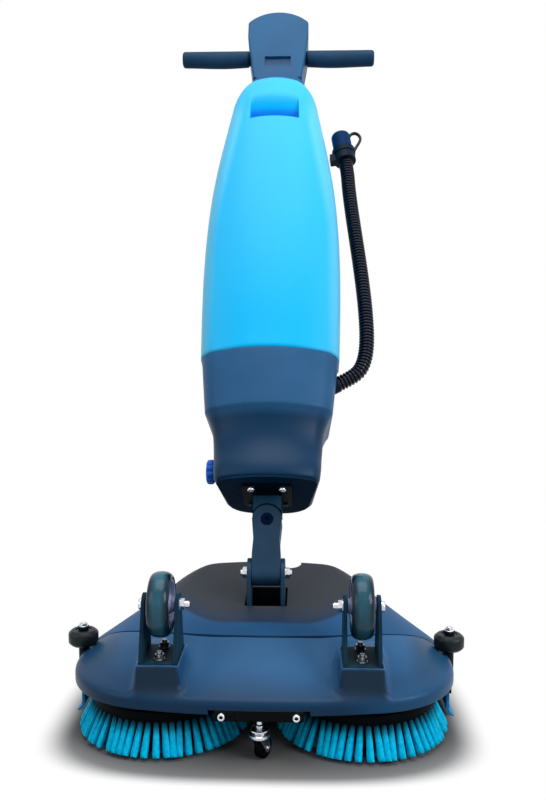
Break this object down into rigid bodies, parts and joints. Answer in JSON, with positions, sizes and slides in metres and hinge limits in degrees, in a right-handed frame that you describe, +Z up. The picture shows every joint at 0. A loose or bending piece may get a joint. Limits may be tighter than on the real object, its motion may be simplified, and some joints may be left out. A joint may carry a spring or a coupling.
{
  "type": "floor scrubber",
  "caption": "Upright floor scrubber: low deck with disc brushes, squeegee and transport wheels, leaning water tank with console and T handle on a two-axis joint, ribbed drain hose.",
  "frame": {"origin": "on the floor under the squeegee blade's edge plane, on the centre plane, straight under the tilt hinge of the handle", "axes": "+Z up; -Y is the front of the machine, where the transport wheels are; +X is the right-hand side seen from the front"},
  "size_m": [0.533, 0.8206, 1.1188],
  "materials": {
    "cover_plastic": "moulded slate navy, fine grain",
    "tank_plastic": "rotation-moulded sky blue, soft sheen",
    "base_plastic": "moulded slate navy, fine grain",
    "dark_plastic": "black-navy moulding",
    "cast_joint": "powder-coated casting, slate navy",
    "fork_steel": "powder-coated pressed steel",
    "chassis_steel": "powder-coated plate",
    "plated_steel": "zinc plated",
    "black_steel": "black oxide",
    "motor_iron": "cast body, black",
    "battery_case": "moulded case",
    "fan_case": "die-cast motor body",
    "brush_plastic": "moulded brush block",
    "bristle": "nylon bristle, sky blue",
    "blade_rubber": "squeegee rubber, teal blue",
    "tyre": "solid tread, grey",
    "hub_plastic": "moulded hub, grey",
    "roller_rubber": "soft bumper roller",
    "grip_rubber": "soft grip",
    "hose_rubber": "corrugated hose, near black",
    "knob_plastic": "bright blue knob",
    "lens": "smoked display window",
    "button_plastic": "button"
  },
  "bodies": {
    "deck": {"deck_chassis": "chassis_steel", "front_cover": "cover_plastic", "rear_cover": "cover_plastic", "left_wheel_fork": "fork_steel", "right_wheel_fork": "fork_steel", "left_wheel_axle": "plated_steel", "right_wheel_axle": "plated_steel", "roller_posts": "black_steel", "rear_squeegee_blade": "blade_rubber", "front_squeegee_blade": "blade_rubber", "squeegee_frame": "dark_plastic", "suction_port": "dark_plastic", "front_crossbar": "dark_plastic", "deck_bolts": "plated_steel", "caster_stem": "plated_steel", "left_brush_motor": "motor_iron", "right_brush_motor": "motor_iron", "joint_bracket": "cast_joint", "tilt_pin": "plated_steel"},
    "left_brush": {"left_brush_block": "brush_plastic", "left_bristles": "bristle", "left_drive_shaft": "plated_steel"},
    "right_brush": {"right_brush_block": "brush_plastic", "right_bristles": "bristle", "right_drive_shaft": "plated_steel"},
    "left_wheel": {"left_wheel_hub": "hub_plastic", "left_wheel_tyre": "tyre"},
    "right_wheel": {"right_wheel_hub": "hub_plastic", "right_wheel_tyre": "tyre"},
    "left_roller": {"left_bumper_roller": "roller_rubber"},
    "right_roller": {"right_bumper_roller": "roller_rubber"},
    "caster": {"caster_fork": "plated_steel"},
    "caster_tread": {"caster_wheel": "roller_rubber"},
    "arm": {"swivel_arm": "cast_joint", "roll_pin": "black_steel"},
    "upright": {"swivel_bracket": "cast_joint", "bracket_bolts": "plated_steel", "base_plate": "chassis_steel", "base_housing": "base_plastic", "vacuum_motor": "fan_case", "water_valve": "dark_plastic", "tank": "tank_plastic", "back_spine": "base_plastic", "battery_pack": "battery_case", "console_housing": "base_plastic", "console_panel": "dark_plastic", "display_lens": "lens", "handle_bar": "fork_steel", "left_grip": "grip_rubber", "right_grip": "grip_rubber", "hose_spigot": "dark_plastic", "drain_hose": "hose_rubber", "hose_cuff": "hose_rubber", "hose_clip": "dark_plastic", "cap_strap": "hose_rubber"},
    "cap": {"drain_cap": "hose_rubber"},
    "knob": {"valve_knob": "knob_plastic"},
    "power_key": {"power_button": "button_plastic"},
    "water_key": {"water_button": "knob_plastic"}
  },
  "joints": [
    {"name": "handle_tilt", "type": "hinge", "parent": "deck", "child": "arm", "pos_m": [0, 0, 0.172], "axis": [1, 0, 0], "range_deg": [-25, 30]},
    {"name": "handle_lean", "type": "hinge", "parent": "arm", "child": "upright", "pos_m": [0, 0.03575, 0.23392], "axis": [0, -0.866, 0.5], "range_deg": [-25, 25]},
    {"name": "left_brush_spin", "type": "hinge", "parent": "deck", "child": "left_brush", "pos_m": [-0.127, -0.093, 0.05], "axis": [0, 0, 1], "continuous": true},
    {"name": "left_wheel_spin", "type": "hinge", "parent": "deck", "child": "left_wheel", "pos_m": [-0.123, -0.145, 0.174], "axis": [1, 0, 0], "continuous": true},
    {"name": "left_roller_spin", "type": "hinge", "parent": "deck", "child": "left_roller", "pos_m": [-0.2465, -0.045, 0.094], "axis": [0, 0, 1], "continuous": true},
    {"name": "right_brush_spin", "type": "hinge", "parent": "deck", "child": "right_brush", "pos_m": [0.127, -0.093, 0.05], "axis": [0, 0, 1], "continuous": true},
    {"name": "right_wheel_spin", "type": "hinge", "parent": "deck", "child": "right_wheel", "pos_m": [0.123, -0.145, 0.174], "axis": [1, 0, 0], "continuous": true},
    {"name": "right_roller_spin", "type": "hinge", "parent": "deck", "child": "right_roller", "pos_m": [0.2465, -0.045, 0.094], "axis": [0, 0, 1], "continuous": true},
    {"name": "caster_swivel", "type": "hinge", "parent": "deck", "child": "caster", "pos_m": [0, -0.19, 0.03], "axis": [0, 0, 1], "continuous": true},
    {"name": "caster_wheel_spin", "type": "hinge", "parent": "caster", "child": "caster_tread", "pos_m": [0.00376, -0.18294, 0.013], "axis": [-0.8829, 0.4695, 0], "continuous": true},
    {"name": "knob_turn", "type": "hinge", "parent": "upright", "child": "knob", "pos_m": [-0.0885, 0.06979, 0.30087], "axis": [-1, 0, 0], "range_deg": [0, 90]},
    {"name": "cap_pull", "type": "slide", "parent": "upright", "child": "cap", "axis": [-0.1392, 0.4951, 0.8576], "range_m": [0, 0.014], "deforming": ["cap_strap"]},
    {"name": "power_press", "type": "slide", "parent": "upright", "child": "power_key", "axis": [0, -0.8829, -0.4695], "range_m": [0, 0.0015], "stiffness_N_per_m": 400, "springref_m": -0.001},
    {"name": "water_press", "type": "slide", "parent": "upright", "child": "water_key", "axis": [0, -0.8829, -0.4695], "range_m": [0, 0.0015], "stiffness_N_per_m": 400, "springref_m": -0.001}
  ]
}
